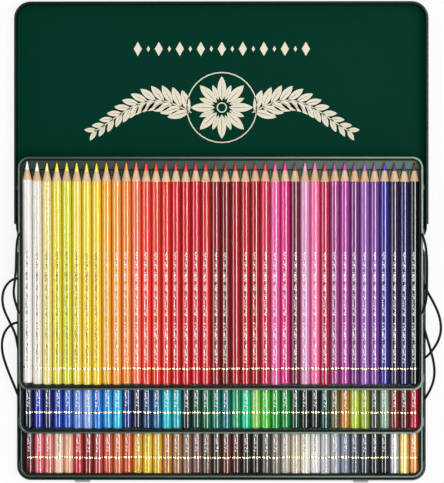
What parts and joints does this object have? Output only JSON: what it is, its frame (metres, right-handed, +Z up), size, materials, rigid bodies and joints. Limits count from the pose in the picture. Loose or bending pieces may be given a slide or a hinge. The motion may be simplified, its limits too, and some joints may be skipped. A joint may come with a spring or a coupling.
{
  "type": "coloured pencil tin",
  "caption": "Flat hinged tin lying open, with stepped pull-out trays of round coloured pencils and cord loops for lifting the trays out.",
  "frame": {"origin": "middle of the base tin's underside, on the surface that it stands on", "axes": "+X to the right of someone who sits at the open tin, +Y from the front towards the open lid, +Z up"},
  "size_m": [0.3459, 0.3765, 0.046],
  "materials": {
    "tin_outside": "dark green enamel, satin",
    "lid_green": "dark green enamel with a pale printed rosette",
    "grey_rubber": "plain grey",
    "hinge_steel": "plain tinned steel",
    "tray_green": "thermoformed, satin dark green",
    "cord_black": "black round cord",
    "pencil_lead": "waxy pigment, one colour a pencil",
    "bottom_pencils_1": "lacquered barrel, bare wood cone",
    "bottom_pencils_2": "lacquered barrel, bare wood cone",
    "bottom_pencils_3": "lacquered barrel, bare wood cone",
    "bottom_pencils_4": "lacquered barrel, bare wood cone",
    "bottom_pencils_5": "lacquered barrel, bare wood cone",
    "bottom_pencils_6": "lacquered barrel, bare wood cone",
    "bottom_pencils_7": "lacquered barrel, bare wood cone",
    "bottom_pencils_8": "lacquered barrel, bare wood cone",
    "middle_pencils_1": "lacquered barrel, bare wood cone",
    "middle_pencils_2": "lacquered barrel, bare wood cone",
    "middle_pencils_3": "lacquered barrel, bare wood cone",
    "middle_pencils_4": "lacquered barrel, bare wood cone",
    "middle_pencils_5": "lacquered barrel, bare wood cone",
    "middle_pencils_6": "lacquered barrel, bare wood cone",
    "middle_pencils_7": "lacquered barrel, bare wood cone",
    "middle_pencils_8": "lacquered barrel, bare wood cone",
    "top_pencils_1": "lacquered barrel, bare wood cone",
    "top_pencils_2": "lacquered barrel, bare wood cone",
    "top_pencils_3": "lacquered barrel, bare wood cone",
    "top_pencils_4": "lacquered barrel, bare wood cone",
    "top_pencils_5": "lacquered barrel, bare wood cone",
    "top_pencils_6": "lacquered barrel, bare wood cone",
    "top_pencils_7": "lacquered barrel, bare wood cone",
    "top_pencils_8": "lacquered barrel, bare wood cone"
  },
  "bodies": {
    "base": {"base_tin": "tin_outside", "base_front_stops": "grey_rubber", "base_hinge_leaves": "hinge_steel", "hinge_pins": "hinge_steel"},
    "lid": {"lid_tin": "lid_green", "lid_hinge_leaves": "hinge_steel"},
    "bottom_tray": {"bottom_tray": "tray_green", "bottom_cord_knots": "cord_black", "bottom_left_cord": "cord_black", "bottom_right_cord": "cord_black", "bottom_pencils_1": "bottom_pencils_1", "bottom_pencils_2": "bottom_pencils_2", "bottom_pencils_3": "bottom_pencils_3", "bottom_pencils_4": "bottom_pencils_4", "bottom_pencils_5": "bottom_pencils_5", "bottom_pencils_6": "bottom_pencils_6", "bottom_pencils_7": "bottom_pencils_7", "bottom_pencils_8": "bottom_pencils_8", "bottom_pencil_leads": "pencil_lead"},
    "middle_tray": {"middle_tray": "tray_green", "middle_cord_knots": "cord_black", "middle_left_cord": "cord_black", "middle_right_cord": "cord_black", "middle_pencils_1": "middle_pencils_1", "middle_pencils_2": "middle_pencils_2", "middle_pencils_3": "middle_pencils_3", "middle_pencils_4": "middle_pencils_4", "middle_pencils_5": "middle_pencils_5", "middle_pencils_6": "middle_pencils_6", "middle_pencils_7": "middle_pencils_7", "middle_pencils_8": "middle_pencils_8", "middle_pencil_leads": "pencil_lead"},
    "top_tray": {"top_tray": "tray_green", "top_cord_knots": "cord_black", "top_left_cord": "cord_black", "top_right_cord": "cord_black"},
    "top_pencils": {"top_pencils_1": "top_pencils_1", "top_pencils_2": "top_pencils_2", "top_pencils_3": "top_pencils_3", "top_pencils_4": "top_pencils_4", "top_pencils_5": "top_pencils_5", "top_pencils_6": "top_pencils_6", "top_pencils_7": "top_pencils_7", "top_pencils_8": "top_pencils_8", "top_pencil_leads": "pencil_lead"}
  },
  "joints": [
    {"name": "lid_hinge", "type": "hinge", "parent": "base", "child": "lid", "pos_m": [0, 0.09325, 0.017], "axis": [1, 0, 0], "range_deg": [0, 180]},
    {"name": "bottom_tray_lift", "type": "slide", "parent": "base", "child": "bottom_tray", "axis": [0, 0, 1], "range_m": [0, 0.4499]},
    {"name": "middle_tray_lift", "type": "slide", "parent": "bottom_tray", "child": "middle_tray", "axis": [0, 0, 1], "range_m": [0, 0.1]},
    {"name": "top_tray_lift", "type": "slide", "parent": "middle_tray", "child": "top_tray", "axis": [0, 0, 1], "range_m": [0, 0.1]},
    {"name": "top_pencils_lift", "type": "slide", "parent": "top_tray", "child": "top_pencils", "axis": [0, -0.0549, 0.9985], "range_m": [0, 0.05]}
  ],
  "couplings": [
    {"joint": "lid_hinge", "follows": "bottom_tray_lift", "rad_per_m": 6.9813}
  ]
}
